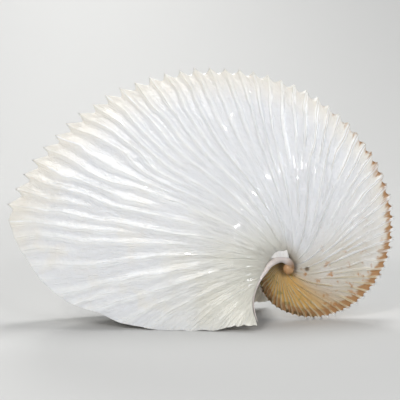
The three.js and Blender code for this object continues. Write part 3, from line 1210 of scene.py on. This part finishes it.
    def build(self) -> bpy.types.Material:
        """Builds the colours in layers, the fine relief as a bump, and the gloss over both.

        Returns:
            The material.
        """
        material = bpy.data.materials.new("porcelaneous_calcite")
        material.use_nodes = True
        tree = material.node_tree
        tree.nodes.clear()
        found = self.sources(tree)
        colour = None
        for layer in self.layers():
            settings = {"data_type": "RGBA", 6: linear(self.hollow), 7: linear(layer.colour)}
            links = {0: self.mask(tree, found, layer.masks)}
            if colour is not None:
                links[6] = colour
            colour = add_node(tree, "ShaderNodeMix", settings, links).outputs[2]
        height = None
        for emboss in self.embossing():
            settings = {"operation": "MULTIPLY_ADD", 1: emboss.height, 2: 0.0}
            links = {0: self.mask(tree, found, emboss.masks)}
            if height is not None:
                links[2] = height
            height = add_node(tree, "ShaderNodeMath", settings, links).outputs[0]
        bump = add_node(tree, "ShaderNodeBump", {"Distance": MM}, {"Height": height})
        gloss = {"operation": "MULTIPLY_ADD", 1: self.roughness_range, 2: self.smoothest}
        roughness = add_node(tree, "ShaderNodeMath", gloss, {0: found["mottle"]})
        finish = {
            "IOR": self.ior,
            "Subsurface Weight": self.translucence,
            "Subsurface Radius": self.reach_by_colour,
            "Subsurface Scale": self.light_reach * MM,
            "Coat Weight": self.coat,
            "Coat Roughness": self.coat_roughness,
            "Coat IOR": self.coat_ior,
        }
        links = {"Base Color": colour, "Roughness": roughness.outputs[0], "Normal": bump.outputs[0]}
        shader = add_node(tree, "ShaderNodeBsdfPrincipled", finish, links)
        add_node(tree, "ShaderNodeOutputMaterial", {}, {"Surface": shader.outputs[0]})
        return material


@dataclass(frozen=True)
class Lamp:
    """A square soft light: name, place and side in millimetres, watts, and colour."""

    name: str
    place: tuple[float, float, float]
    side: float
    power: float
    colour: str = "#FFFFFF"


@dataclass(frozen=True)
class Studio:
    """Floor, lights and camera. Lengths are millimetres, angles degrees."""

    floor_colour: str = "#CFCFCD"
    floor_roughness: float = 0.9
    floor_size: float = 4000.0
    floor_back: float = 500.0
    cove_radius: float = 500.0
    cove_steps: int = 24
    # Large soft lights all round, and small ones in front that draw the fine glints on the ribs
    lamps: tuple[Lamp, ...] = (
        Lamp("key", (-330.0, -860.0, 610.0), 480.0, 3.6, "#FFFDFA"),
        Lamp("fill", (620.0, -520.0, 260.0), 160.0, 1.1, "#F4F7FF"),
        Lamp("top", (80.0, 160.0, 760.0), 260.0, 2.2),
        Lamp("back", (-300.0, 900.0, 620.0), 420.0, 5.0),
        Lamp("spark_left", (-180.0, -700.0, 620.0), 16.0, 0.6),
        Lamp("spark_right", (330.0, -640.0, 480.0), 16.0, 0.7),
        Lamp("spark_front", (160.0, -700.0, 190.0), 14.0, 0.3),
    )
    sky_colour: str = "#E8EAEE"
    sky_strength: float = 0.36
    azimuth: float = 9.0
    elevation: float = 7.0
    roll: float = -2.62
    distance: float = 620.0
    target: tuple[float, float, float] = (1.59, 0.0, 57.87)
    focal_to_width: float = 3.286  # focal length to image width
    sensor: float = 36.0
    nearest: float = 10.0

    def build_floor(self) -> bpy.types.Object:
        """Makes a pale sheet on the ground that sweeps up in a quarter circle behind the shell.

        Returns:
            The sheet.
        """
        turn = np.radians(np.linspace(0.0, 90.0, self.cove_steps + 1))
        y = np.concatenate([[-self.floor_size], self.floor_back + self.cove_radius * np.sin(turn)])
        z = np.concatenate([[0.0], self.cove_radius * (1 - np.cos(turn))])
        y = np.append(y, y[-1])
        z = np.append(z, self.floor_size)
        x = np.array([-self.floor_size, self.floor_size])
        points = np.stack(np.broadcast_arrays(x[None, :], y[:, None], z[:, None]), -1)
        floor = mesh_of("floor", [Patch(points, {})])
        material = bpy.data.materials.new("matt_paper")
        material.use_nodes = True
        shader = material.node_tree.nodes["Principled BSDF"]
        shader.inputs["Base Color"].default_value = linear(self.floor_colour)
        shader.inputs["Roughness"].default_value = self.floor_roughness
        floor.data.materials.append(material)
        return floor

    def build_light(self, lamp: Lamp) -> None:
        """Sets up a light that faces the shell.

        Args:
            lamp: The light.
        """
        light = bpy.data.lights.new(lamp.name, "AREA")
        light.size = lamp.side * MM
        light.energy = lamp.power
        light.color = linear(lamp.colour)[:3]
        holder = bpy.data.objects.new(lamp.name, light)
        at = Vector(lamp.place) * MM
        facing = (at - Vector(self.target) * MM).to_track_quat("Z", "Y")
        holder.matrix_world = Matrix.LocRotScale(at, facing, None)
        bpy.context.scene.collection.objects.link(holder)

    def build_camera(self) -> None:
        """Sets up the camera at the photograph's angle: azimuth and elevation place it, roll tilts it."""
        a = math.radians(self.azimuth)
        e = math.radians(self.elevation)
        r = math.radians(self.roll)
        back = Vector((math.sin(a) * math.cos(e), -math.cos(a) * math.cos(e), math.sin(e)))
        level = Vector((math.cos(a), math.sin(a), 0.0))
        upright = back.cross(level)
        right = math.cos(r) * level + math.sin(r) * upright
        up = math.cos(r) * upright - math.sin(r) * level
        turn = Matrix((right, up, back)).transposed().to_4x4()
        place = (Vector(self.target) + self.distance * back) * MM
        data = bpy.data.cameras.new("camera")
        data.sensor_width = self.sensor
        data.lens = self.focal_to_width * self.sensor
        data.clip_start = self.nearest * MM
        camera = bpy.data.objects.new("camera", data)
        camera.matrix_world = Matrix.Translation(place) @ turn
        bpy.context.scene.collection.objects.link(camera)
        bpy.context.scene.camera = camera

    def build(self) -> None:
        """Sets up floor, lights, camera and the tone of the picture."""
        self.build_floor()
        for lamp in self.lamps:
            self.build_light(lamp)
        self.build_camera()
        world = bpy.data.worlds.new("studio")
        world.use_nodes = True
        sky = world.node_tree.nodes["Background"]
        sky.inputs["Color"].default_value = linear(self.sky_colour)
        sky.inputs["Strength"].default_value = self.sky_strength
        bpy.context.scene.world = world
        bpy.context.scene.view_settings.view_transform = "Standard"


def build_shell() -> bpy.types.Object:
    """Makes the shell in one piece: its sheet, and a rolled margin and a broken scale on both sides.

    Returns:
        The shell, in its body.
    """
    patches = Sheet().patches()
    for side in Side:
        patches.extend((RolledMargin().patch(side), RolledMargin().head(side)))
        patches.extend(BrokenScale().patch(side, outward) for outward in (True, False))
    shell = mesh_of("nautilus_shell", patches)
    shell.data.materials.append(Calcite().build())
    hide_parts(NODE)
    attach(shell, BODY)
    return shell


def main() -> None:
    """Builds the shell and the studio."""
    logging.basicConfig(level=logging.INFO)
    shell = build_shell()
    mesh = shell.data
    mesh.calc_loop_triangles()
    LOG.info("%s: %d vertices, %d triangles", shell.name, len(mesh.vertices), len(mesh.loop_triangles))
    Studio().build()


if __name__ == "__main__":
    main()
